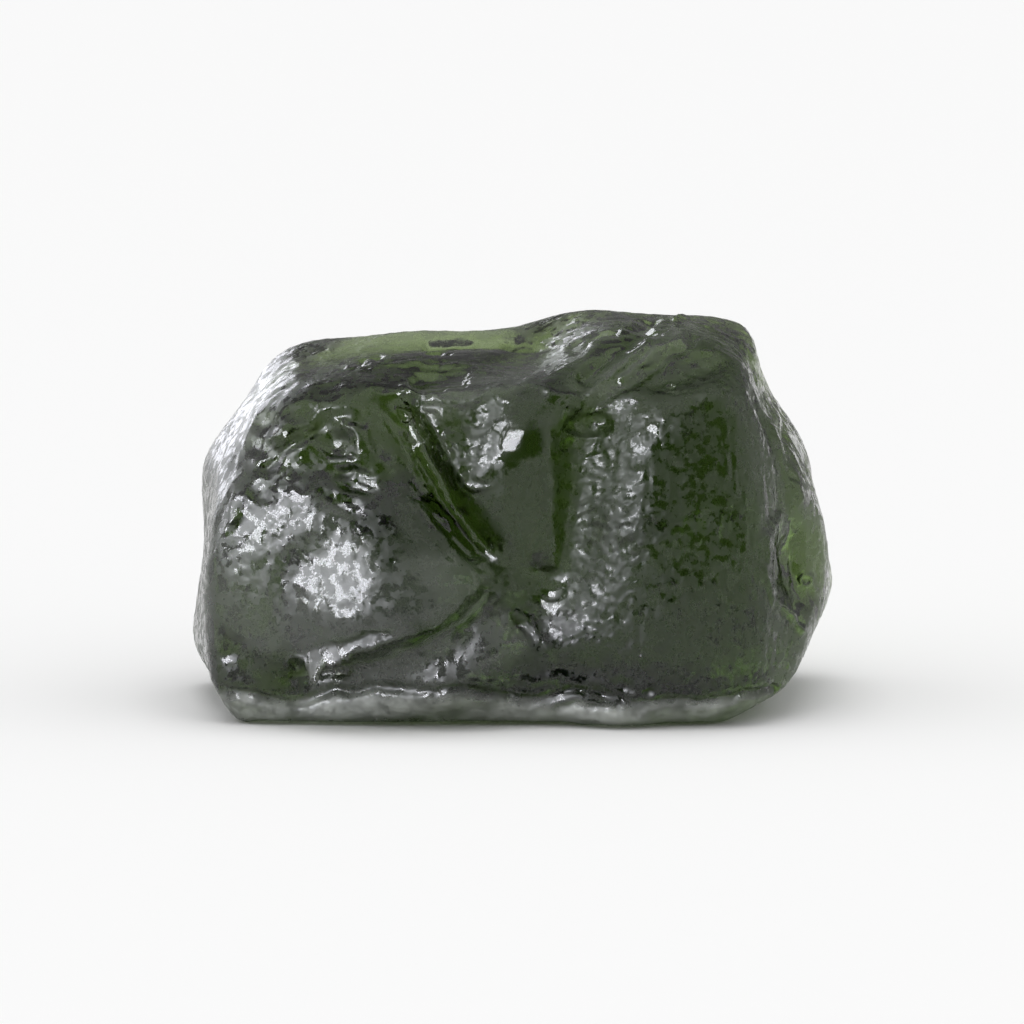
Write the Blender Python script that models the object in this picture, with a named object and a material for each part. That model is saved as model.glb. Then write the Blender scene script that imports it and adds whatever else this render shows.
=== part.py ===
"""A rough moldavite: one blocky piece of dark green natural glass.

The frame is the stone's own: +X to the right and +Y away from whoever looks at its front,
+Z up. The origin is at the middle of the stone's footprint, on the surface that it rests on.
The stone is worked out as a field, negative inside and zero on the skin: flat breaks that
meet in rounded edges, with lumps, hollows and grooves pressed into them. A gridded box is
then drawn onto that skin along straight rays from a point inside the stone.
"""

import bmesh
import bpy
import numpy as np
from mathutils import Vector, noise

# Every length below is in millimetres; MM turns them into metres at the end.
MM = 0.001

NODE_NAME = "moldavite"

# The gridded box: its cells along X, Y and Z, and the point that its rays start from.
CELLS = (39, 23, 25)
BOX_SIZE = (22.0, 12.6, 13.4)
HEART = (0.0, 0.0, 6.3)
LONGEST_RAY = 16.0
HALVINGS = 36

# The skin is nowhere quite flat: it wanders by this much over about this distance, but not at
# the base, where it does so in full only above the second of these heights.
UNEVENNESS = 0.22
UNEVENNESS_SPAN = 3.2
UNEVENNESS_FADE = (0.2, 2.2)

# How wide the rounded edges are, between two breaks, between two lumps and at the base.
EDGE_ROUNDING = 0.20
LUMP_BLEND = 0.45
BASE_ROUNDING = 0.06
FLAT_BASE_TOLERANCE = 0.01
# How often, and by what share, each point above the base is evened out with its neighbours.
SMOOTHING_PASSES = 2
SMOOTHING_SHARE = 0.5

# Each break is a point that its plane passes through, and the way that the plane faces.
MAIN_BREAKS = {
    "top": ((-2.0, 4.0, 12.80), (-0.03, -0.13, 0.99)),
    "top left": ((-6.9, 3.0, 12.30), (-0.33, -0.12, 0.93)),
    "left shoulder": ((-8.5, 2.0, 11.45), (-0.70, -0.12, 0.70)),
    "upper left": ((-10.1, 1.0, 9.35), (-0.875, -0.14, 0.46)),
    "left": ((-11.15, 1.0, 4.6), (-0.985, -0.13, 0.03)),
    "lower left": ((-10.35, 0.0, 0.55), (-0.62, 0.0, -0.78)),
    "under the front": ((0.0, -5.2, 0.0), (0.0, -0.74, -0.67)),
    "front left": ((-6.0, -5.75, 5.5), (-0.10, -0.99, 0.08)),
    "front right": ((4.5, -6.0, 6.0), (0.06, -0.995, 0.05)),
    "above the front": ((-6.5, -4.9, 10.5), (-0.16, -0.74, 0.65)),
    "right of the front": ((8.75, -5.2, 6.0), (0.80, -0.60, 0.02)),
    "right": ((9.0, 0.0, 8.6), (0.96, -0.12, 0.24)),
    "lower right": ((8.6, 0.0, 0.9), (0.62, 0.0, -0.78)),
    "back": ((0.0, 6.2, 6.0), (0.02, 1.0, 0.05)),
    "back left": ((-8.2, 4.6, 6.0), (-0.57, 0.82, 0.08)),
    "back right": ((7.6, 4.7, 6.0), (0.62, 0.77, 0.10)),
    "top of the back": ((0.0, 4.9, 11.5), (0.0, 0.62, 0.78)),
    "under the back": ((0.0, 4.8, 0.6), (0.0, 0.60, -0.80)),
}
HUMP_BREAKS = {
    "top": ((5.0, 4.0, 13.50), (0.01, -0.07, 0.99)),
    "left": ((1.3, 3.0, 12.85), (-0.50, -0.10, 0.86)),
    "right shoulder": ((7.85, 2.0, 12.75), (0.62, -0.10, 0.78)),
    "right": ((8.6, 0.0, 11.0), (0.95, -0.06, 0.30)),
    "above the front": ((5.0, -4.75, 11.6), (0.05, -0.72, 0.69)),
    "front": ((4.5, -6.0, 6.0), (0.06, -0.995, 0.05)),
    "right of the front": ((8.35, -5.2, 8.0), (0.80, -0.60, 0.05)),
    "back": ((5.0, 5.6, 6.0), (0.1, 1.0, 0.0)),
    "top of the back": ((5.0, 4.7, 11.9), (0.1, 0.62, 0.78)),
    "inner end": ((0.5, 0.0, 6.0), (-1.0, 0.0, -0.35)),
    "underside": ((5.0, 0.0, 3.0), (0.0, 0.0, -1.0)),
}
RIGHT_LOBE_BREAKS = {
    "upper right": ((10.05, 1.0, 8.6), (0.90, -0.10, 0.42)),
    "right": ((11.15, 1.0, 5.2), (0.995, -0.10, 0.03)),
    "lower right": ((10.6, 1.0, 2.7), (0.92, -0.06, -0.38)),
    "underside": ((9.4, 0.0, 0.80), (0.30, 0.0, -0.95)),
    "top": ((9.4, 1.0, 9.8), (0.60, 0.0, 0.80)),
    "front": ((9.6, -4.0, 6.0), (0.45, -0.89, 0.0)),
    "back": ((10.0, 3.9, 6.0), (0.50, 0.86, 0.0)),
    "inner end": ((8.0, 0.0, 6.0), (-1.0, 0.0, 0.0)),
}

# What is raised on each side or sunk into it, in that side's own two coordinates: X and Z on
# the front and back, X and Y on the top, Y and Z on the ends. A height below zero is a depth.
# A swelling has a middle, two half widths, the turn of the first of them in degrees, and its
# height. A crease has the points that it runs through, its half width and its height.
FRONT_SWELLINGS = {
    "bulge": ((-4.7, 4.4), (5.6, 4.2), -16.0, 0.75),
    "crown of the bulge": ((-3.3, 3.8), (4.5, 3.1), -16.0, 0.75),
    "broad face": ((5.6, 5.6), (3.6, 5.8), 8.0, 0.50),
    "pit under the hump": ((2.9, 10.5), (1.70, 0.90), 10.0, -1.15),
    "upper scoop": ((-6.2, 9.7), (1.35, 0.90), -20.0, -0.55),
    "middle scoop": ((-4.9, 8.4), (1.25, 0.65), -30.0, -0.45),
    "corner scoop": ((-8.8, 10.0), (1.1, 0.70), 35.0, -0.40),
    "lower corner hollow": ((-9.4, 2.4), (1.1, 1.3), 0.0, -0.35),
    "foot": ((3.7, 0.4), (1.7, 1.1), 0.0, 0.60),
}
FRONT_CREASES = {
    "valley": (((-4.0, 10.5), (-3.2, 9.0), (-2.0, 7.2), (-0.7, 5.4)), 1.05, -1.30),
    "under the bulge": (((-6.8, 1.6), (-3.8, 2.2), (-1.9, 3.1), (-0.5, 4.6)), 0.85, -1.40),
    "over the bulge": (((-9.2, 8.8), (-7.6, 9.2), (-5.6, 8.8), (-3.8, 8.3)), 0.80, -0.40),
    "trough": (((2.3, 9.8), (2.2, 8.0), (1.6, 5.6), (0.6, 4.2)), 1.65, -1.25),
    "rib in the trough": (((1.15, 10.1), (1.35, 8.0), (1.2, 5.9)), 0.70, 0.60),
    "long flute": (((2.4, 11.3), (3.8, 11.9), (5.2, 12.6)), 0.70, -0.65),
    "short flute": (((4.2, 11.2), (5.4, 11.8), (6.4, 12.3)), 0.65, -0.50),
    "ledge over the base": (((-3.5, 1.9), (0.0, 2.2), (3.0, 1.9)), 0.80, -0.40),
}
# The V pocket is a wedge between two walls that meet at its tip, under a level ceiling. Its
# floor is flat.
POCKET_TIP = (-1.40, 7.90)
POCKET_LEFT_WALL = (-2.80, 10.9)
POCKET_RIGHT_WALL = (0.10, 11.3)
POCKET_CEILING = 11.35
POCKET_WALL_WIDTH = 1.00
POCKET_DEPTH = 0.80

TOP_SWELLINGS = {
    "olive hollow": ((-2.7, -3.0), (1.4, 1.5), 0.0, -0.35),
    "ramp": ((0.6, -1.6), (3.4, 1.6), 48.0, -0.30),
    "back hollow": ((-6.0, 1.5), (2.2, 2.6), -20.0, -0.25),
    "hump hollow": ((5.6, 0.6), (2.2, 2.4), 30.0, -0.20),
}
TOP_CREASES = {
    "long groove": (((-3.8, 1.0), (-1.4, 1.4), (0.9, 0.9)), 1.20, -0.35),
}
BACK_SWELLINGS = {
    "great hollow": ((-3.4, 7.2), (4.4, 3.4), 22.0, -1.10),
    "low hollow": ((4.6, 4.0), (3.8, 2.6), -12.0, -0.85),
    "high hollow": ((4.2, 9.6), (2.9, 2.0), 15.0, -0.60),
    "corner hollow": ((-7.4, 2.6), (2.1, 1.8), 40.0, -0.50),
}
BACK_CREASES = {
    "cleft": (((0.6, 11.2), (1.3, 8.4), (0.7, 6.2)), 0.90, -0.55),
    "ridge": (((-6.8, 4.0), (-3.8, 3.1), (0.2, 3.2)), 0.80, 0.40),
}
LEFT_SWELLINGS = {
    "broad hollow": ((2.0, 5.0), (3.6, 3.2), 20.0, -0.30),
    "back hollow": ((2.8, 9.6), (2.0, 1.6), 0.0, -0.25),
}
LEFT_CREASES = {
    "step over the base": (((-6.5, 0.75), (-1.0, 0.85), (3.0, 0.6)), 0.80, -0.30),
}
RIGHT_SWELLINGS = {
    "scar": ((-3.2, 5.4), (1.35, 2.2), 10.0, -0.75),
    "end hollow": ((1.6, 6.0), (2.2, 2.1), -30.0, -0.45),
    "under hollow": ((0.8, 1.9), (2.0, 1.0), 10.0, -0.20),
}
RIGHT_CREASES = {
    "step behind the front": (((-3.8, 11.0), (-3.7, 9.0), (-3.9, 7.4)), 0.65, -0.35),
}
BASE_SWELLINGS = {
    "left hollow": ((-5.4, 0.4), (2.7, 2.1), 15.0, -0.50),
    "right hollow": ((3.8, -0.6), (2.5, 1.9), -20.0, -0.45),
    "back hollow": ((-0.9, 3.2), (2.2, 1.3), 5.0, -0.40),
}
# Each side takes its relief where the coordinate that faces out of it has passed these two
# values: none at the first, and the whole of it at the second.
FRONT_FADE = (2.4, 4.4)
TOP_FADE = (9.4, 11.0)
BACK_FADE = (2.4, 4.4)
LEFT_FADE = (7.4, 9.2)
RIGHT_FADE = (7.0, 8.8)
# The front's relief ends below the top, between these two heights.
FRONT_TOP_FADE = (12.3, 12.9)
# Where hollows cross, a high power leaves the depth of the deeper one and not their sum.
CROSSING_POWER = 4.0


def plane_distances(points, breaks):
    """The signed distance of each point from each break's plane, one row to a break."""
    rows = []
    for through, facing in breaks.values():
        normal = np.array(facing) / np.linalg.norm(facing)
        rows.append((points - np.array(through)) @ normal)
    return np.stack(rows)


def broken_lump(points, breaks):
    """The field of the convex lump between the breaks, whose edges are rounded."""
    distances = plane_distances(points, breaks)
    largest = distances.max(axis=0)
    surplus = np.exp((distances - largest) / EDGE_ROUNDING).sum(axis=0)
    return largest + EDGE_ROUNDING * np.log(surplus)


def smooth_lower(a, b, width):
    """The lower of two fields, blended where they are within a width of each other."""
    share = np.clip(0.5 + 0.5 * (b - a) / width, 0.0, 1.0)
    return b * (1.0 - share) + a * share - width * share * (1.0 - share)


def distance_to_path(across, up, path):
    """The distance of each point of a side from a chain of straight stretches on it."""
    nearest = np.full(across.shape, np.inf)
    for start, end in zip(path[:-1], path[1:]):
        run = np.array(end) - np.array(start)
        along = ((across - start[0]) * run[0] + (up - start[1]) * run[1]) / (run @ run)
        along = np.clip(along, 0.0, 1.0)
        gap = np.hypot(across - start[0] - along * run[0], up - start[1] - along * run[1])
        nearest = np.minimum(nearest, gap)
    return nearest


def swelling_heights(across, up, swellings):
    """The height of each of a side's swellings at each point of it, one row to a swelling."""
    rows = []
    for middle, half_widths, turn, height in swellings.values():
        cosine, sine = np.cos(np.radians(turn)), np.sin(np.radians(turn))
        right, above = across - middle[0], up - middle[1]
        first = (right * cosine + above * sine) / half_widths[0]
        second = (above * cosine - right * sine) / half_widths[1]
        rows.append(height * np.clip(1.0 - first**2 - second**2, 0.0, None))
    return rows


def crease_heights(across, up, creases):
    """The height of each of a side's creases at each point of it, one row to a crease."""
    rows = []
    for path, half_width, height in creases.values():
        share = distance_to_path(across, up, path) / half_width
        rows.append(height * np.clip(1.0 - share**2, 0.0, None) ** 1.5)
    return rows


def inside_wall(across, up, foot, head):
    """How far each point is to the left of the line that runs from a foot to a head."""
    run = (np.array(head) - np.array(foot)) / np.hypot(head[0] - foot[0], head[1] - foot[1])
    return run[0] * (up - foot[1]) - run[1] * (across - foot[0])


def pocket_heights(across, up):
    """The V pocket: as deep as its walls allow between them, down to its flat floor."""
    from_left = -inside_wall(across, up, POCKET_TIP, POCKET_LEFT_WALL)
    from_right = inside_wall(across, up, POCKET_TIP, POCKET_RIGHT_WALL)
    from_above = POCKET_CEILING - up
    reach = np.minimum(np.minimum(from_left, from_right), from_above) / POCKET_WALL_WIDTH
    return -POCKET_DEPTH * np.clip(reach, 0.0, 1.0)


def faded(coordinate, fade):
    """A smooth rise from zero to one between a fade's two values."""
    share = np.clip((coordinate - fade[0]) / (fade[1] - fade[0]), 0.0, 1.0)
    return share * share * (3.0 - 2.0 * share)


def run_together(rows):
    """What stands out is added up, and what is sunk is as deep as its deepest part."""
    rows = np.stack(rows)
    raised = np.clip(rows, 0.0, None).sum(axis=0)
    sunk = np.clip(-rows, 0.0, None) ** CROSSING_POWER
    return raised - sunk.sum(axis=0) ** (1.0 / CROSSING_POWER)


def side_relief(across, up, swellings, creases):
    """A side's swellings and creases, run together."""
    rows = swelling_heights(across, up, swellings) + crease_heights(across, up, creases)
    return run_together(rows)


def front_relief(across, up):
    """The front's swellings, creases and V pocket, run together."""
    rows = swelling_heights(across, up, FRONT_SWELLINGS)
    rows += crease_heights(across, up, FRONT_CREASES)
    rows.append(pocket_heights(across, up))
    return run_together(rows) * (1.0 - faded(up, FRONT_TOP_FADE))


def relief(points):
    """How far the skin stands out of the breaks at each point, or below them if negative."""
    x, y, z = points.T
    return (
        front_relief(x, z) * faded(-y, FRONT_FADE)
        + side_relief(x, y, TOP_SWELLINGS, TOP_CREASES) * faded(z, TOP_FADE)
        + side_relief(x, z, BACK_SWELLINGS, BACK_CREASES) * faded(y, BACK_FADE)
        + side_relief(y, z, LEFT_SWELLINGS, LEFT_CREASES) * faded(-x, LEFT_FADE)
        + side_relief(y, z, RIGHT_SWELLINGS, RIGHT_CREASES) * faded(x, RIGHT_FADE)
    )


def stone_field(points):
    """The whole stone: three lumps run together, with their relief, on a flat base."""
    field = broken_lump(points, MAIN_BREAKS)
    field = smooth_lower(field, broken_lump(points, HUMP_BREAKS), LUMP_BLEND)
    field = smooth_lower(field, broken_lump(points, RIGHT_LOBE_BREAKS), LUMP_BLEND)
    x, y, z = points.T
    above_base = z + run_together(swelling_heights(x, y, BASE_SWELLINGS))
    return -smooth_lower(relief(points) - field, above_base, BASE_ROUNDING)


def gridded_box():
    """A box around the stone whose faces are cut into cells, as a bmesh."""
    mesh = bmesh.new()
    bmesh.ops.create_cube(mesh, size=1.0)
    for axis, cells in enumerate(CELLS):
        facing = [0.0, 0.0, 0.0]
        facing[axis] = 1.0
        for cut in range(1, cells):
            through = [0.0, 0.0, 0.0]
            through[axis] = cut / cells - 0.5
            everything = mesh.verts[:] + mesh.edges[:] + mesh.faces[:]
            bmesh.ops.bisect_plane(mesh, geom=everything, plane_co=through, plane_no=facing)
    return mesh


def skin_points(box_points):
    """Where the ray from the stone's heart through each point of the box meets the skin."""
    heart = np.array(HEART)
    rays = box_points * np.array(BOX_SIZE)
    rays /= np.linalg.norm(rays, axis=1)[:, None]
    inner = np.zeros(len(rays))
    outer = np.full(len(rays), LONGEST_RAY)
    for _ in range(HALVINGS):
        middle = 0.5 * (inner + outer)
        within = stone_field(heart + rays * middle[:, None]) < 0.0
        inner = np.where(within, middle, inner)
        outer = np.where(within, outer, middle)
    return heart + rays * inner[:, None]


def uneven(points):
    """The same points, moved a little towards the stone's heart or away from it."""
    heart = np.array(HEART)
    swing = np.array([noise.noise(Vector(point) / UNEVENNESS_SPAN) for point in points])
    swing *= UNEVENNESS * faded(points[:, 2], UNEVENNESS_FADE)
    rays = points - heart
    return points + rays * (swing / np.linalg.norm(rays, axis=1))[:, None]


def even_out(mesh):
    """Evens out every point above the base with its neighbours."""
    above_base = [vertex for vertex in mesh.verts if vertex.co.z > 0.0]
    for _ in range(SMOOTHING_PASSES):
        bmesh.ops.smooth_vert(
            mesh,
            verts=above_base,
            factor=SMOOTHING_SHARE,
            use_axis_x=True,
            use_axis_y=True,
            use_axis_z=True,
        )


def centre_footprint(mesh):
    """Moves the mesh along X and Y, so that its box is centred on the origin."""
    points = np.array([vertex.co[:] for vertex in mesh.verts])
    middle = 0.5 * (points.min(axis=0) + points.max(axis=0))
    bmesh.ops.translate(mesh, verts=mesh.verts[:], vec=(-middle[0], -middle[1], 0.0))


def green_glass():
    """Dark bottle green natural glass, clear inside, with an etched and partly dull skin."""
    material = bpy.data.materials.new("green natural glass")
    material.use_nodes = True
    shader = material.node_tree.nodes["Principled BSDF"]
    shader.inputs["Base Color"].default_value = (0.10, 0.16, 0.07, 1.0)
    shader.inputs["Metallic"].default_value = 0.0
    shader.inputs["Roughness"].default_value = 0.22
    shader.inputs["IOR"].default_value = 1.49
    material.diffuse_color = (0.10, 0.16, 0.07, 1.0)
    return material


def make_stone():
    """The stone, as one smooth-shaded mesh object made of triangles."""
    mesh = gridded_box()
    box_points = np.array([vertex.co[:] for vertex in mesh.verts])
    placed = uneven(skin_points(box_points))
    placed[placed[:, 2] < FLAT_BASE_TOLERANCE, 2] = 0.0
    for vertex, point in zip(mesh.verts, placed * MM):
        vertex.co = point
    even_out(mesh)
    centre_footprint(mesh)
    bmesh.ops.triangulate(mesh, faces=mesh.faces[:], quad_method="SHORT_EDGE")
    bmesh.ops.recalc_face_normals(mesh, faces=mesh.faces[:])
    data = bpy.data.meshes.new(NODE_NAME)
    mesh.to_mesh(data)
    mesh.free()
    data.shade_smooth()
    data.materials.append(green_glass())
    stone = bpy.data.objects.new(NODE_NAME, data)
    bpy.context.scene.collection.objects.link(stone)
    return stone


def main():
    """Empties the scene and makes the stone in it."""
    for item in list(bpy.data.objects):
        bpy.data.objects.remove(item, do_unlink=True)
    make_stone()


main()
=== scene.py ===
"""The looks of a rough moldavite: its fine relief, its etched green glass and its studio.

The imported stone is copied, made much finer, and given the scoops, ridges, grooves, bubble
pits and etching that its solid leaves out. Places on the side that the picture shows are
pixels of the 1024 x 1024 picture. Every length is in millimetres, until the stone's mesh
is scaled back to metres.
"""

import math

import bmesh
import bpy
import numpy as np
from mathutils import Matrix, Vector, noise


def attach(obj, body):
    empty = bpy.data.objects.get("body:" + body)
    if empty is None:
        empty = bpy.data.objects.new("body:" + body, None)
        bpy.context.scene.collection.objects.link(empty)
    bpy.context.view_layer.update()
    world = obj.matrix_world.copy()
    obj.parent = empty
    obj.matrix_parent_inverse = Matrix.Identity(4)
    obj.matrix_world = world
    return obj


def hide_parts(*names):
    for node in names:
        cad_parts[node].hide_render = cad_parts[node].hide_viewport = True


MM = 0.001
NODE_NAME = "moldavite"
STONE_NAME = "moldavite_glass"

# The camera, and the picture that it takes.
PICTURE_SIDE = 1024
PIXELS_PER_MM = 28.8
CAMERA_AIM = (-0.03, 0.0, 6.61)
CAMERA_DISTANCE = 260.0
CAMERA_ELEVATION = 9.0
SENSOR_WIDTH = 36.0
NEAREST_SEEN = 0.01
FARTHEST_SEEN = 50.0

WELD_DISTANCE = 0.0005
EVEN_SUBDIVISIONS = 2
MOST_TRIANGLES = 195000
# How squarely a point has to face the camera, as a cosine, to have none or all of the relief
# that is placed by the picture.
FACING_FADE = (0.02, 0.16)
# The same for the relief of the sides that the picture hides, the other way round.
BACK_FADE = (-0.35, 0.0)
# The heights between which relief rises from none, at the flat base, to all.
BASE_FADE = (0.02, 0.5)
# The most that two triangles may differ, out of plane and in shape, to be joined in a quad.
JOIN_ANGLES = (60.0, 70.0)

# The relief that the picture shows. A path or a middle is in pixels, and a width or a height
# in millimetres. A height below zero is a depth.
# A crest has a sharp top: its path, its half width and its height.
CRESTS = {
    "left edge": (
        ((300, 368), (283, 385), (262, 410), (250, 437), (242, 470), (236, 500), (228, 530),
         (218, 560), (210, 590), (204, 620), (202, 650)), 0.50, 0.14),
    "edge of the top": (
        ((425, 398), (445, 405), (470, 400), (490, 392), (510, 386), (530, 384), (545, 391),
         (556, 398), (580, 398)), 0.30, 0.12),
    "first flute ridge": (
        ((590, 393), (612, 377), (632, 362), (648, 346), (660, 332), (680, 322)), 0.42, 0.22),
    "second flute ridge": (((622, 378), (645, 364), (664, 347), (690, 333)), 0.35, 0.18),
    "edge of the hump": (
        ((680, 322), (700, 328), (720, 336), (740, 342), (753, 354), (762, 380)), 0.40, 0.12),
    "thin curl": (((683, 338), (690, 346), (702, 350), (720, 352)), 0.18, 0.06),
    "valley lip": (((405, 432), (412, 450), (418, 470), (422, 490)), 0.16, 0.05),
    "left pocket lip": (((446, 436), (450, 455), (458, 470), (472, 487)), 0.20, 0.12),
    "rim of the scar": (
        ((780, 514), (771, 527), (765, 545), (763, 565), (768, 583), (778, 600), (790, 616),
         (801, 628)), 0.26, 0.16),
    "lobe edge": (((774, 415), (776, 440), (783, 458), (793, 480), (800, 500)), 0.30, 0.10),
    "low streak": (((508, 619), (522, 616), (531, 623), (539, 635), (551, 647)), 0.24, 0.16),
    "pit brow": (((566, 409), (588, 404), (606, 411)), 0.20, 0.12),
    "lower bulge lip": (((296, 660), (330, 655), (372, 646), (410, 636)), 0.26, 0.10),
    "wavy line": (((440, 681), (480, 683), (520, 680), (560, 677), (592, 684)), 0.16, 0.06),
    "valley foot": (((425, 512), (436, 530), (448, 545), (462, 556)), 0.18, 0.10),
}
# A groove has a round bottom: its path, its half width and its height.
GROOVES = {
    "over the bulge": (
        ((262, 470), (285, 449), (310, 433), (325, 423), (345, 416), (364, 420)), 0.34, -0.18),
    "under the bulge": (
        ((300, 672), (330, 668), (370, 662), (400, 653), (440, 637), (470, 616), (490, 594)),
        0.45, -0.20),
    "valley floor": (((410, 412), (424, 440), (436, 475), (452, 515), (478, 548)), 0.50, -0.15),
    "beside the valley foot": (((436, 518), (448, 534), (470, 556)), 0.18, -0.14),
    "behind the first flute": (((585, 376), (605, 357), (625, 341), (652, 327)), 0.50, -0.26),
    "between the flutes": (((618, 376), (640, 358), (654, 338), (672, 326)), 0.16, -0.16),
    "under the flutes": (((606, 394), (640, 374), (664, 356), (690, 341)), 0.40, -0.16),
    "top notch": (((574, 347), (592, 337), (614, 330)), 0.26, -0.24),
    "left notch": (((361, 364), (379, 358)), 0.16, -0.16),
    "above the second scoop": (((338, 473), (356, 470), (374, 478)), 0.16, -0.10),
    "strip line left": (
        ((222, 690), (262, 697), (290, 703), (312, 698), (330, 691), (362, 691), (400, 688),
         (440, 689), (478, 693), (512, 699)), 0.26, -0.20),
    "strip line right": (
        ((512, 699), (540, 699), (562, 694), (590, 686), (612, 699), (640, 706), (680, 703),
         (720, 701), (744, 692), (772, 689)), 0.26, -0.20),
    "strip fold": (((560, 708), (600, 704), (640, 714)), 0.20, -0.12),
    "under the wavy line": (((470, 690), (520, 688), (560, 688)), 0.18, -0.10),
    "olive lens": (((430, 348), (480, 346), (540, 347)), 0.26, -0.20),
    "second olive lens": (((415, 382), (440, 385), (462, 380)), 0.34, -0.18),
    "top fold": (((350, 368), (400, 362), (450, 366), (500, 372)), 0.16, 0.07),
    "beside the scar": (((795, 560), (800, 580), (799, 610)), 0.20, -0.12),
    "lobe cleft": (((779, 425), (786, 450), (797, 478)), 0.20, -0.14),
    "trough rib": (((546, 432), (549, 480), (552, 560)), 0.45, 0.08),
}
# A scoop is a bowl with a crisp rim: its middle, its half widths, the turn of the first of
# them in degrees, and its depth.
SCOOPS = {
    "first scoop": ((334, 441), (0.95, 0.62), -28.0, 0.26),
    "second scoop": ((354, 481), (0.95, 0.42), -24.0, 0.20),
    "third scoop": ((338, 504), (0.95, 0.46), -22.0, 0.14),
    "corner scoop": ((266, 447), (0.60, 0.42), 32.0, 0.18),
    "high left scoop": ((300, 412), (0.60, 0.40), 24.0, 0.14),
    "high scoop": ((324, 394), (0.62, 0.34), 10.0, 0.12),
    "far left scoop": ((268, 424), (0.52, 0.36), 40.0, 0.12),
    "right of the scoops": ((378, 440), (0.42, 0.80), 10.0, 0.12),
    "under the notch": ((388, 384), (0.62, 0.34), -8.0, 0.12),
    "by the ring": ((425, 402), (0.70, 0.34), -30.0, 0.16),
    "dark pit": ((590, 426), (0.98, 0.46), 6.0, 0.30),
    "below the dark pit": ((586, 446), (0.90, 0.30), 4.0, 0.14),
    "hump scoop": ((606, 362), (0.60, 0.34), 38.0, 0.10),
    "right hump scoop": ((700, 362), (1.10, 0.60), -12.0, 0.12),
    "scar": ((789, 566), (0.62, 1.60), -8.0, 0.22),
    "scar foot": ((801, 604), (0.42, 0.90), -14.0, 0.12),
    "bulge dimple": ((262, 492), (0.60, 0.45), 20.0, 0.10),
    "low dimple": ((233, 648), (0.50, 0.42), 0.0, 0.12),
    "strip dimple": ((622, 690), (0.60, 0.36), 0.0, 0.18),
}
# A facet is a place that is pressed flat, or nearly so, and faces the key light's mirror
# direction: its middle, its half widths, its turn, how far its edge fades, and the radius of
# its roundness.
FACETS = {
    "bulge": ((338, 590), (2.55, 1.90), -32.0, 0.75, 9.0),
    "bulge streak": ((348, 646), (1.80, 0.28), 14.0, 0.35, 6.0),
    "right arm": ((490, 448), (1.45, 0.40), 67.0, 0.30, 14.0),
    "left arm": ((457, 460), (0.85, 0.13), -64.0, 0.40, 9.0),
    "arms meet": ((478, 484), (0.50, 0.26), -20.0, 0.40, 9.0),
    "first crescent": ((340, 455), (0.72, 0.17), -16.0, 0.40, 6.0),
    "second crescent": ((362, 486), (0.62, 0.16), -24.0, 0.40, 6.0),
    "third crescent": ((346, 510), (0.62, 0.20), -28.0, 0.40, 6.0),
    "corner glint": ((270, 452), (0.36, 0.14), 30.0, 0.40, 6.0),
    "ring glint": ((401, 411), (0.30, 0.22), -10.0, 0.40, 4.0),
    "valley glint": ((413, 455), (0.60, 0.09), -76.0, 0.40, 6.0),
    "low glint": ((530, 632), (0.80, 0.12), -44.0, 0.40, 6.0),
    "pit glint": ((598, 408), (0.34, 0.10), 20.0, 0.40, 6.0),
    "low pit glint": ((603, 420), (0.32, 0.10), -10.0, 0.40, 6.0),
}
# The azimuth and elevation that mirror the key light, and the share of the waves on a facet.
FACET_FACING = (-19.0, 18.0)
FACET_WAVES = 0.4
# How far noise shifts the places of the picture's relief, in pixels, and the noise's span.
WARP = 5.0
WARP_SPAN = 0.9
# An opened bubble has a bowl and a raised rim: its middle, its radius and its depth.
BUBBLES = {
    "great ring": ((551, 590), 0.50, 0.05),
    "bright ring": ((404, 413), 0.32, 0.10),
    "hump ring": ((672, 388), 0.20, 0.10),
    "dot on the hump": ((724, 390), 0.14, 0.07),
    "low dot": ((649, 693), 0.24, 0.12),
    "lobe dot": ((807, 580), 0.20, 0.10),
    "left dot": ((296, 665), 0.26, 0.12),
    "face dot": ((631, 500), 0.14, 0.07),
    "pocket dot": ((444, 662), 0.13, 0.06),
    "valley dot": ((449, 546), 0.15, 0.08),
}

# Parts of the surface, each a list of paths with half widths: what lies within is of that kind.
REGIONS = {
    "frosted": (
        (((285, 372), (250, 425), (224, 480), (208, 560), (199, 640)), 0.55),
        (((275, 590), (300, 560), (330, 600), (350, 640)), 2.2),
        (((420, 590), (450, 590)), 1.2),
        (((420, 672), (470, 650), (500, 640)), 0.9),
        (((440, 402), (500, 380), (550, 358), (600, 330)), 0.55),
        (((600, 388), (640, 360), (690, 328)), 0.42),
        (((330, 340), (430, 334), (520, 330)), 0.35),
    ),
    "strip": (
        (((225, 706), (300, 712), (400, 708), (520, 714), (620, 718), (720, 714), (760, 704)), 0.42),
    ),
    "sugar": (
        (((606, 420), (614, 520), (600, 610)), 1.25),
        (((500, 570), (510, 610), (530, 650)), 0.90),
        (((560, 640), (620, 636)), 0.50),
        (((450, 420), (495, 415), (470, 455)), 0.60),
    ),
    "olive": (
        (((400, 400), (424, 450), (440, 490), (470, 535), (490, 560)), 0.62),
        (((520, 420), (522, 500), (528, 560)), 0.60),
        (((415, 350), (545, 350)), 0.24),
        (((418, 382), (462, 382)), 0.34),
        (((600, 362), (622, 345), (650, 332)), 0.40),
        (((788, 540), (790, 600)), 0.45),
        (((400, 650), (440, 630), (484, 600)), 0.34),
        (((350, 664), (400, 652)), 0.26),
        (((785, 430), (800, 455)), 0.25),
    ),
    "smooth": (
        (((290, 376), (250, 420), (224, 470), (210, 540), (203, 600), (200, 660)), 0.85),
    ),
    "striated": (
        (((640, 460), (640, 640)), 1.6),
        (((720, 420), (730, 640)), 2.0),
    ),
}
REGION_FADE = 0.35
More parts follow.
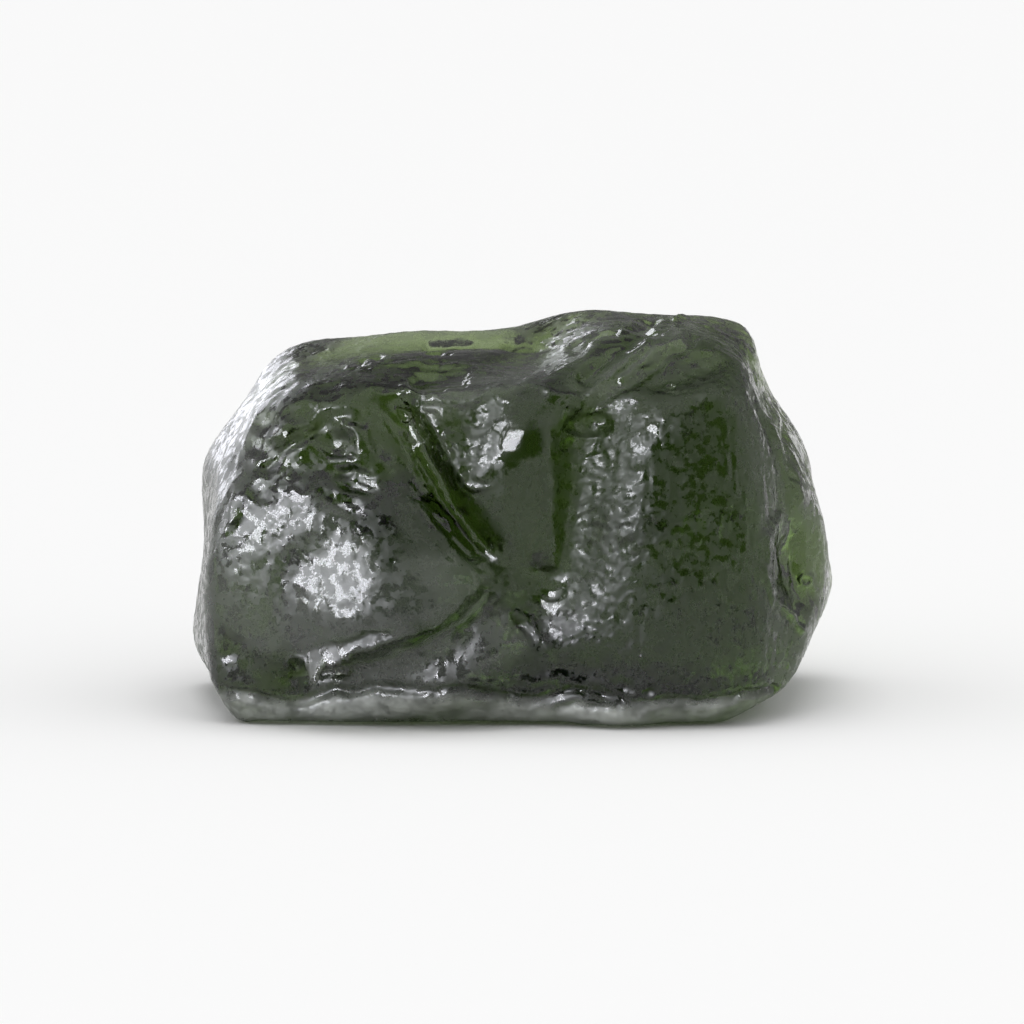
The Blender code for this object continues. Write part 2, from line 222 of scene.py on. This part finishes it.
# A bubble's height as a share of its width, and its rim's height as a share of its depth,
# with the rim's place and width as shares of its radius.
BUBBLE_SQUASH = 0.85
RIM_HEIGHT = 0.5
RIM_PLACE = 1.05
RIM_WIDTH = 0.22

# Scoops that are scattered over the sides that the picture hides, with the least and the most
# of each measure.
SCATTER_SEED = 7394
BACK_SCOOPS = 90
BACK_SCOOP_RADII = (0.45, 1.5)
BACK_SCOOP_DEPTHS = (0.10, 0.22)
BACK_SCOOP_SQUEEZES = (0.45, 1.0)
LOWEST_BACK_SCOOP = 0.8
# Relief made by noise: the height and the span of each kind, in millimetres.
WAVES = (0.09, 1.5)
FRONT_WAVES = 0.25
FLUTES = (0.07, 1.4)
FLUTE_STRETCH = (1.0, 1.0, 2.2)
ETCHING = (0.018, 0.42)
GRAIN = (0.012, 0.20)
SUGAR_HEIGHT = 0.024
STREAKS = (0.030, 0.26)
STREAK_STRETCH = (1.0, 1.0, 5.0)
HIDDEN_STREAK_HEIGHT = 0.02
# Where each noise is read, so that no two are alike.
OFFSETS = {
    "flutes": 5.0, "etching": 3.0, "grain": 9.0, "streaks": 17.0, "sideways": 31.0, "upright": 47.0,
}

# The glass. Scales of noise are per metre.
GLASS_IOR = 1.49
ABSORPTION_COLOUR = (0.30, 0.41, 0.06, 1.0)
ABSORPTION_DENSITY = 490.0
DARK_TINT = (0.80, 0.84, 0.74, 1.0)
PALE_TINT = (0.90, 0.93, 0.86, 1.0)
TINT_SCALE = 500.0
PATCH_SCALE = 2600.0
# The values of noise, or of a region's share, between which one kind of glass turns to another.
PATCH_EDGES = (0.44, 0.54)
OLIVE_EDGES = (0.1, 0.7)
STRIP_EDGES = (0.30, 0.70)
GLOSSY_ROUGHNESS = 0.10
MATTE_ROUGHNESS = 0.40
OLIVE_ROUGHNESS_SHARE = 0.25
STRIP_ROUGHNESS = 0.25
SUGAR_ROUGHNESS = 0.14
FROSTED_HAZE = 0.03
STRIP_HAZE = (0.05, 0.26)
STRIP_STREAK_SCALE = 900.0
GRAIN_SCALE = 9000.0
PIT_SCALE = 3600.0
BUMP_DISTANCE = 0.009 * MM
# The bump's share on clear glass, what dull glass adds, and the grain's share beside the pits.
BUMP_SHARE = 0.4
DULL_BUMP_SHARE = 0.5
GRAIN_SHARE = 0.5

# The studio, in metres.
FLOOR_SIDE = 12.0
FLOOR_DROP = 0.02 * MM
FLOOR_COLOUR = (0.92, 0.92, 0.92, 1.0)
FLOOR_ROUGHNESS = 0.9
FLOOR_GLOSS = 0.1
WORLD_BRIGHTNESS = 1.05
# A darker part of the tent: its azimuth and elevation, the angles where it ends and where the
# tent is all white, and its brightness.
OPENINGS = {
    "camera": ((0.0, 7.0), (22.0, 50.0), 0.04),
    "behind": ((180.0, 15.0), (30.0, 75.0), 0.24),
}
# A softbox: its azimuth and elevation, its distance, its width and height, its radiance, its
# colour, and what it shines on.
SOFTBOXES = {
    "key": (-40.0, 25.0, 4.0, 2.0, 2.0, 17.0, (0.92, 0.93, 1.0), "stone"),
    "left panel": (-100.0, 20.0, 4.0, 2.4, 2.0, 5.0, (0.92, 0.93, 1.0), "stone"),
    "back left panel": (-158.0, 10.0, 4.0, 1.6, 1.8, 3.0, (0.92, 0.93, 1.0), "stone"),
    "floor light": (0.0, 90.0, 4.0, 3.0, 3.0, 2.0, (1.0, 1.0, 1.0), "floor"),
}


def camera_axes():
    """The camera's place, and its forward, right and up directions."""
    tilt = math.radians(CAMERA_ELEVATION)
    forward = np.array((0.0, math.cos(tilt), -math.sin(tilt)))
    right = np.array((1.0, 0.0, 0.0))
    up = np.array((0.0, math.sin(tilt), math.cos(tilt)))
    return np.array(CAMERA_AIM) - forward * CAMERA_DISTANCE, forward, right, up


def seen_at(points):
    """Where each point is seen, across and down the picture, in pixels."""
    place, forward, right, up = camera_axes()
    away = points - place
    scale = PIXELS_PER_MM * CAMERA_DISTANCE / (away @ forward)
    middle = 0.5 * PICTURE_SIDE
    return middle + scale * (away @ right), middle - scale * (away @ up)


def smooth_rise(value, low, high):
    """A smooth rise from zero at low to one at high."""
    share = np.clip((value - low) / (high - low), 0.0, 1.0)
    return share * share * (3.0 - 2.0 * share)


def facing_camera(points, normals, fade):
    """A share from how squarely each point is seen: none or all of it at the fade's cosines."""
    to_camera = camera_axes()[0] - points
    to_camera /= np.linalg.norm(to_camera, axis=1)[:, None]
    return smooth_rise((to_camera * normals).sum(axis=1), *fade)


def towards_camera(points, normals):
    """How much of the picture's relief each point takes."""
    return facing_camera(points, normals, FACING_FADE)


def distance_to_path(across, down, path):
    """How far each place of the picture is from a chain of stretches, in millimetres."""
    nearest = np.full(across.shape, np.inf)
    for start, end in zip(path[:-1], path[1:]):
        run = np.subtract(end, start)
        share = ((across - start[0]) * run[0] + (down - start[1]) * run[1]) / (run @ run)
        share = np.clip(share, 0.0, 1.0)
        gap = np.hypot(across - start[0] - share * run[0], down - start[1] - share * run[1])
        nearest = np.minimum(nearest, gap)
    return nearest / PIXELS_PER_MM


def distance_to_middle(across, down, middle, half_widths, turn):
    """Each place's distance from an oval's middle, as a share of its half widths."""
    cosine, sine = math.cos(math.radians(turn)), math.sin(math.radians(turn))
    right = (across - middle[0]) / PIXELS_PER_MM
    above = (middle[1] - down) / PIXELS_PER_MM
    first = (right * cosine + above * sine) / half_widths[0]
    second = (above * cosine - right * sine) / half_widths[1]
    return np.hypot(first, second)


def crest_heights(across, down):
    """The sharp crests' heights."""
    total = np.zeros(across.shape)
    for path, half_width, height in CRESTS.values():
        share = np.clip(distance_to_path(across, down, path) / half_width, 0.0, 1.0)
        total += height * (1.0 - share) ** 1.5
    return total


def groove_heights(across, down):
    """The round grooves' heights."""
    total = np.zeros(across.shape)
    for path, half_width, height in GROOVES.values():
        share = np.clip(distance_to_path(across, down, path) / half_width, 0.0, 1.0)
        total += height * (1.0 - share * share) ** 2
    return total


def scoop_heights(across, down):
    """The crisp scoops' heights."""
    total = np.zeros(across.shape)
    for middle, half_widths, turn, depth in SCOOPS.values():
        share = distance_to_middle(across, down, middle, half_widths, turn)
        total -= depth * np.clip(1.0 - share**2, 0.0, None)
    return total


def bubble_heights(across, down):
    """The opened bubbles' bowls and rims."""
    total = np.zeros(across.shape)
    for middle, radius, depth in BUBBLES.values():
        share = distance_to_middle(across, down, middle, (radius, radius * BUBBLE_SQUASH), 0.0)
        total -= depth * np.clip(1.0 - share**2, 0.0, None)
        total += RIM_HEIGHT * depth * np.exp(-(((share - RIM_PLACE) / RIM_WIDTH) ** 2))
    return total


def warped(points, across, down):
    """The places of the picture, shifted by noise, so that no shape is a plain oval."""
    sideways = fractal(points, WARP_SPAN, octaves=2, offset=OFFSETS["sideways"])
    upright = fractal(points, WARP_SPAN, octaves=2, offset=OFFSETS["upright"])
    return across + WARP * sideways, down + WARP * upright


def faceted(heights, points, normals, across, down, front, waves):
    """The heights with each facet pressed onto its own plane or large ball."""
    facing = np.array(direction_of(*FACET_FACING))
    for middle, half_widths, turn, fade, radius in FACETS.values():
        share = distance_to_middle(across, down, middle, half_widths, turn)
        weight = front * (1.0 - smooth_rise(share, 1.0 - fade, 1.0))
        centre = np.argmin(np.where(front > 0.9, share, np.inf))
        anchor = points[centre] + normals[centre] * heights[centre]
        away = points - anchor
        above = away @ facing
        drop = ((away**2).sum(axis=1) - above**2) / (2.0 * radius)
        level = np.maximum(normals @ facing, 0.3)
        pressed = FACET_WAVES * waves - (above + drop) / level
        heights = heights + weight * (pressed - heights)
    return heights


def region_share(name, across, down):
    """How much each place of the picture belongs to a region."""
    share = np.zeros(across.shape)
    for path, half_width in REGIONS[name]:
        gap = distance_to_path(across, down, path) - half_width
        share = np.maximum(share, 1.0 - smooth_rise(gap, -REGION_FADE, REGION_FADE))
    return share


def fractal(points, span, stretch=(1.0, 1.0, 1.0), octaves=4, offset=0.0):
    """Fractal noise at each point, about a span wide, drawn out along the axes by stretch."""
    scaled = points / (span * np.array(stretch)) + offset
    return np.array([noise.fractal(Vector(point), 0.7, 2.1, octaves) for point in scaled])


def ridged(points, span, stretch=(1.0, 1.0, 1.0), offset=0.0):
    """Noise with sharp crests and round hollows, from zero in the hollows to one."""
    scaled = points / (span * np.array(stretch)) + offset
    return np.array([1.0 - abs(noise.noise(Vector(point))) * 2.0 for point in scaled])


def read_points(data):
    """A mesh's points and their normals."""
    points = np.empty(len(data.vertices) * 3, np.float32)
    data.vertices.foreach_get("co", points)
    normals = np.empty(len(data.vertices) * 3, np.float32)
    data.vertex_normals.foreach_get("vector", normals)
    return points.reshape(-1, 3).astype(float), normals.reshape(-1, 3).astype(float)


def move_points(data, heights):
    """Moves each point of a mesh by a height along its normal, but for the flat base."""
    points, normals = read_points(data)
    heights = heights * smooth_rise(points[:, 2], *BASE_FADE)
    moved = points + normals * heights[:, None]
    data.vertices.foreach_set("co", moved.astype(np.float32).ravel())
    data.update()


def scattered_scoops(points, normals, back):
    """Shallow scoops with crisp rims at random places of the sides that the picture hides."""
    chooser = np.random.default_rng(SCATTER_SEED)
    hidden = np.flatnonzero((back > 0.95) & (points[:, 2] > LOWEST_BACK_SCOOP))
    total = np.zeros(len(points))
    for _ in range(BACK_SCOOPS):
        seed = chooser.choice(hidden)
        radius = chooser.uniform(*BACK_SCOOP_RADII)
        depth = radius * chooser.uniform(*BACK_SCOOP_DEPTHS)
        squeeze = chooser.uniform(*BACK_SCOOP_SQUEEZES)
        away = points - points[seed]
        along = np.cross(normals[seed], chooser.normal(size=3))
        along /= np.linalg.norm(along)
        sideways = np.cross(normals[seed], along)
        share = np.sqrt((away @ along) ** 2 + ((away @ sideways) / squeeze) ** 2) / radius
        share = np.hypot(share, (away @ normals[seed]) / (2.0 * radius))
        total = np.minimum(total, -depth * np.clip(1.0 - share**2, 0.0, None))
    return total * back


def medium_relief(data):
    """The relief that is put on before the mesh is made finer."""
    points, normals = read_points(data)
    front = towards_camera(points, normals)
    across, down = warped(points, *seen_at(points))
    named = crest_heights(across, down) + groove_heights(across, down)
    named += scoop_heights(across, down)
    waves = WAVES[0] * fractal(points, WAVES[1], octaves=2)
    flutes = FLUTES[0] * (ridged(points, FLUTES[1], FLUTE_STRETCH, OFFSETS["flutes"]) - 0.5)
    back = 1.0 - facing_camera(points, normals, BACK_FADE)
    hidden = back * (waves + flutes) + scattered_scoops(points, normals, back)
    rough = 1.0 - region_share("smooth", across, down)
    heights = front * (named + FRONT_WAVES * waves * rough)
    return faceted(heights, points, normals, across, down, front, waves) + hidden


def fine_relief(data):
    """The etching, the bubbles and the pits, on the finest mesh."""
    points, normals = read_points(data)
    front = towards_camera(points, normals)
    across, down = warped(points, *seen_at(points))
    regions = {name: region_share(name, across, down) * front for name in REGIONS}
    etching = fractal(points, ETCHING[1], octaves=4, offset=OFFSETS["etching"])
    grain = fractal(points, GRAIN[1], octaves=2, offset=OFFSETS["grain"])
    streaks = fractal(points, STREAKS[1], STREAK_STRETCH, 3, OFFSETS["streaks"])
    calm = np.clip(1.0 - 0.75 * regions["olive"], 0.0, 1.0) * (1.0 - 0.9 * regions["smooth"])
    heights = ETCHING[0] * etching * calm + GRAIN[0] * grain * calm
    heights += SUGAR_HEIGHT * grain * regions["sugar"]
    heights += STREAKS[0] * streaks * regions["striated"]
    heights += front * bubble_heights(across, down)
    heights += (1.0 - facing_camera(points, normals, BACK_FADE)) * HIDDEN_STREAK_HEIGHT * streaks
    for name, share in regions.items():
        attribute = data.attributes.new(name, "FLOAT", "POINT")
        attribute.data.foreach_set("value", share.astype(np.float32))
    return heights


def coarse_stone(source):
    """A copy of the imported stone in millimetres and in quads, as an object."""
    mesh = bmesh.new()
    mesh.from_mesh(source.data)
    bmesh.ops.scale(mesh, verts=mesh.verts, vec=(1.0 / MM, 1.0 / MM, 1.0 / MM))
    bmesh.ops.remove_doubles(mesh, verts=mesh.verts, dist=WELD_DISTANCE)
    bmesh.ops.join_triangles(
        mesh,
        faces=mesh.faces,
        angle_face_threshold=math.radians(JOIN_ANGLES[0]),
        angle_shape_threshold=math.radians(JOIN_ANGLES[1]),
    )
    data = bpy.data.meshes.new("coarse stone")
    mesh.to_mesh(data)
    mesh.free()
    coarse = bpy.data.objects.new("coarse stone", data)
    bpy.context.scene.collection.objects.link(coarse)
    return coarse


def applied(item):
    """The mesh that an object's modifiers make. The object is removed."""
    graph = bpy.context.evaluated_depsgraph_get()
    data = bpy.data.meshes.new_from_object(item.evaluated_get(graph))
    bpy.data.objects.remove(item)
    return data


def subdivided(item, levels):
    """The object's mesh, smoothly subdivided."""
    modifier = item.modifiers.new("subdivision", "SUBSURF")
    modifier.levels = levels
    modifier.render_levels = levels
    return applied(item)


def finer_front(data):
    """Cuts each face that the picture shows into four, evened out."""
    points, normals = read_points(data)
    shown = towards_camera(points, normals) > 0.5
    mesh = bmesh.new()
    mesh.from_mesh(data)
    faces = [face for face in mesh.faces if all(shown[vertex.index] for vertex in face.verts)]
    edges = list({edge for face in faces for edge in face.edges})
    made = bmesh.ops.subdivide_edges(mesh, edges=edges, cuts=1, use_grid_fill=True)
    new = [item for item in made["geom_inner"] if isinstance(item, bmesh.types.BMVert)]
    bmesh.ops.smooth_vert(
        mesh, verts=new, factor=0.5, use_axis_x=True, use_axis_y=True, use_axis_z=True)
    mesh.to_mesh(data)
    mesh.free()


def thinned(data):
    """The mesh as triangles, with no more of them than a piece may have."""
    data.calc_loop_triangles()
    share = MOST_TRIANGLES / len(data.loop_triangles)
    item = bpy.data.objects.new("fine stone", data)
    bpy.context.scene.collection.objects.link(item)
    modifier = item.modifiers.new("thinning", "DECIMATE")
    modifier.ratio = min(share, 1.0)
    modifier.use_collapse_triangulate = True
    return applied(item)


def make_stone():
    """The stone's own mesh object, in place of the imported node."""
    data = subdivided(coarse_stone(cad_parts[NODE_NAME]), EVEN_SUBDIVISIONS)
    move_points(data, medium_relief(data))
    finer_front(data)
    move_points(data, fine_relief(data))
    data = thinned(data)
    points, _ = read_points(data)
    data.vertices.foreach_set("co", (points * MM).astype(np.float32).ravel())
    data.update()
    data.name = STONE_NAME
    data.shade_smooth()
    data.materials.clear()
    data.materials.append(glass_material())
    stone = bpy.data.objects.new(STONE_NAME, data)
    bpy.context.scene.collection.objects.link(stone)
    return stone


class Nodes:
    """A short way to make and join shader nodes."""

    def __init__(self, tree):
        self.tree = tree

    def add(self, kind, inputs=None, **settings):
        """A node of a kind, with its settings made and its inputs set or joined."""
        node = self.tree.nodes.new(kind)
        for name, value in settings.items():
            setattr(node, name, value)
        for name, value in (inputs or {}).items():
            if isinstance(value, bpy.types.NodeSocket):
                self.tree.links.new(value, node.inputs[name])
            else:
                node.inputs[name].default_value = value
        return node

    def attribute(self, name):
        """A region's share, stored on the mesh."""
        return self.add("ShaderNodeAttribute", attribute_name=name).outputs["Fac"]

    def noise(self, vector, scale, detail=3.0, roughness=0.6):
        """Fractal noise from zero to one."""
        inputs = {"Vector": vector, "Scale": scale, "Detail": detail, "Roughness": roughness}
        return self.add("ShaderNodeTexNoise", inputs).outputs["Fac"]

    def math(self, operation, first, second=0.0, third=0.0):
        """One sum of two or three numbers."""
        node = self.add("ShaderNodeMath", {0: first, 1: second, 2: third}, operation=operation)
        return node.outputs["Value"]

    def rise(self, value, low, high, bottom=0.0, top=1.0):
        """A smooth rise from bottom to top as the value goes from low to high."""
        inputs = {"Value": value, "From Min": low, "From Max": high, "To Min": bottom, "To Max": top}
        node = self.add("ShaderNodeMapRange", inputs, interpolation_type="SMOOTHSTEP")
        return node.outputs["Result"]

    def mix(self, share, first, second):
        """A colour between two."""
        node = self.add("ShaderNodeMix", data_type="RGBA")
        for name, value in (("Factor", share), ("A", first), ("B", second)):
            socket = [s for s in node.inputs if s.name == name and s.enabled][0]
            if isinstance(value, bpy.types.NodeSocket):
                self.tree.links.new(value, socket)
            else:
                socket.default_value = value
        return [s for s in node.outputs if s.enabled][0]


def glass_material():
    """Green glass, partly glossy and partly frosted, that takes in light as it passes."""
    material = bpy.data.materials.new("etched green glass")
    material.use_nodes = True
    nodes = Nodes(material.node_tree)
    shader = material.node_tree.nodes["Principled BSDF"]
    link = material.node_tree.links.new
    place = nodes.add("ShaderNodeTexCoord").outputs["Object"]
    frosted, sugar = nodes.attribute("frosted"), nodes.attribute("sugar")
    strip, olive = nodes.attribute("strip"), nodes.attribute("olive")
    dull = nodes.math("MAXIMUM", nodes.math("MAXIMUM", frosted, sugar), strip)
    tint = nodes.mix(nodes.noise(place, TINT_SCALE, 2.0), DARK_TINT, PALE_TINT)
    link(tint, shader.inputs["Base Color"])
    patches = nodes.rise(nodes.noise(place, PATCH_SCALE, 4.0), *PATCH_EDGES)
    matte = MATTE_ROUGHNESS - GLOSSY_ROUGHNESS
    roughness = nodes.math("MULTIPLY_ADD", patches, matte, GLOSSY_ROUGHNESS)
    calm = nodes.rise(olive, *OLIVE_EDGES, 1.0, OLIVE_ROUGHNESS_SHARE)
    roughness = nodes.math("MULTIPLY", roughness, calm)
    roughness = nodes.math("MULTIPLY_ADD", strip, STRIP_ROUGHNESS, roughness)
    roughness = nodes.math("MULTIPLY_ADD", sugar, SUGAR_ROUGHNESS, roughness)
    link(roughness, shader.inputs["Roughness"])
    clear = nodes.math("MULTIPLY_ADD", frosted, -FROSTED_HAZE, 1.0)
    streaks = nodes.noise(place, STRIP_STREAK_SCALE, 5.0, 0.7)
    streaks = nodes.rise(streaks, *STRIP_EDGES, *STRIP_HAZE)
    clear = nodes.math("SUBTRACT", clear, nodes.math("MULTIPLY", strip, streaks))
    link(clear, shader.inputs["Transmission Weight"])
    grain = nodes.noise(place, GRAIN_SCALE, 3.0, 0.7)
    pits = nodes.noise(place, PIT_SCALE, 2.0, 0.5)
    height = nodes.math("MULTIPLY_ADD", grain, GRAIN_SHARE, pits)
    share = nodes.math("MULTIPLY_ADD", dull, DULL_BUMP_SHARE, BUMP_SHARE)
    height = nodes.math("MULTIPLY", height, share)
    bump = nodes.add("ShaderNodeBump", {"Height": height, "Distance": BUMP_DISTANCE})
    link(bump.outputs["Normal"], shader.inputs["Normal"])
    shader.inputs["IOR"].default_value = GLASS_IOR
    absorption = nodes.add("ShaderNodeVolumeAbsorption")
    absorption.inputs["Color"].default_value = ABSORPTION_COLOUR
    absorption.inputs["Density"].default_value = ABSORPTION_DENSITY
    link(absorption.outputs["Volume"], material.node_tree.nodes["Material Output"].inputs["Volume"])
    return material


def make_camera():
    """The camera at the picture's viewing angle."""
    data = bpy.data.cameras.new("camera")
    data.sensor_width = SENSOR_WIDTH
    data.lens = SENSOR_WIDTH * CAMERA_DISTANCE * PIXELS_PER_MM / PICTURE_SIDE
    data.clip_start = NEAREST_SEEN
    data.clip_end = FARTHEST_SEEN
    camera = bpy.data.objects.new("camera", data)
    place, forward, _, _ = camera_axes()
    camera.location = Vector(place) * MM
    camera.rotation_euler = Vector(forward).to_track_quat("-Z", "Y").to_euler()
    bpy.context.scene.collection.objects.link(camera)
    bpy.context.scene.camera = camera


def make_floor():
    """A wide white floor just under the stone."""
    mesh = bmesh.new()
    bmesh.ops.create_grid(mesh, x_segments=1, y_segments=1, size=0.5 * FLOOR_SIDE)
    data = bpy.data.meshes.new("floor")
    mesh.to_mesh(data)
    mesh.free()
    material = bpy.data.materials.new("white paper")
    material.use_nodes = True
    shader = material.node_tree.nodes["Principled BSDF"]
    shader.inputs["Base Color"].default_value = FLOOR_COLOUR
    shader.inputs["Roughness"].default_value = FLOOR_ROUGHNESS
    shader.inputs["Specular IOR Level"].default_value = FLOOR_GLOSS
    data.materials.append(material)
    floor = bpy.data.objects.new("floor", data)
    floor.location.z = -FLOOR_DROP
    bpy.context.scene.collection.objects.link(floor)
    return floor


def direction_of(azimuth, elevation):
    """The direction at an azimuth, to the right of the camera's side, and an elevation."""
    azimuth, elevation = math.radians(azimuth), math.radians(elevation)
    flat = math.cos(elevation)
    return Vector((math.sin(azimuth) * flat, -math.cos(azimuth) * flat, math.sin(elevation)))


def make_softbox(name, azimuth, elevation, distance, width, height, radiance, colour, target):
    """A rectangular softbox that faces the stone, and lights only its target."""
    data = bpy.data.lights.new(name, "AREA")
    data.shape = "RECTANGLE"
    data.size = width
    data.size_y = height
    data.energy = radiance * math.pi * width * height
    data.color = colour
    light = bpy.data.objects.new(name, data)
    direction = direction_of(azimuth, elevation)
    light.location = Vector(CAMERA_AIM) * MM + direction * distance
    light.rotation_euler = (-direction).to_track_quat("-Z", "Y").to_euler()
    bpy.context.scene.collection.objects.link(light)
    lit = bpy.data.collections.new("lit by the " + name)
    lit.objects.link(target)
    light.light_linking.receiver_collection = lit


def make_world():
    """A white tent all round, with a darker opening in front for the camera."""
    world = bpy.data.worlds.new("tent")
    bpy.context.scene.world = world
    world.use_nodes = True
    tree = world.node_tree
    background = tree.nodes["Background"]
    coordinates = tree.nodes.new("ShaderNodeTexCoord")
    nodes = Nodes(tree)
    strength = WORLD_BRIGHTNESS
    for direction, angles, brightness in OPENINGS.values():
        inputs = {0: coordinates.outputs["Generated"], 1: direction_of(*direction)}
        dot = nodes.add("ShaderNodeVectorMath", inputs, operation="DOT_PRODUCT").outputs["Value"]
        cosines = [math.cos(math.radians(angle)) for angle in angles]
        share = nodes.rise(dot, cosines[1], cosines[0], 1.0, brightness / WORLD_BRIGHTNESS)
        strength = nodes.math("MULTIPLY", share, strength)
    tree.links.new(strength, background.inputs["Strength"])
    background.inputs["Color"].default_value = (1.0, 1.0, 1.0, 1.0)


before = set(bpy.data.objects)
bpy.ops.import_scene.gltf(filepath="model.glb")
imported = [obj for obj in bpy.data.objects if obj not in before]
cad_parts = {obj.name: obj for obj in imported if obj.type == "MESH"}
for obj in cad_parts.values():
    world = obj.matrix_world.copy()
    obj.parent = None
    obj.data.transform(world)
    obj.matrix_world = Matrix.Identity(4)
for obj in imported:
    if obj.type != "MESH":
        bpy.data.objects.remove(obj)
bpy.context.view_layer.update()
bpy.context.scene.view_settings.view_transform = "Standard"
make_camera()
stone = make_stone()
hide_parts(NODE_NAME)
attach(stone, "root")
targets = {"stone": stone, "floor": make_floor()}
for name, (*setting, target) in SOFTBOXES.items():
    make_softbox(name, *setting, targets[target])
make_world()
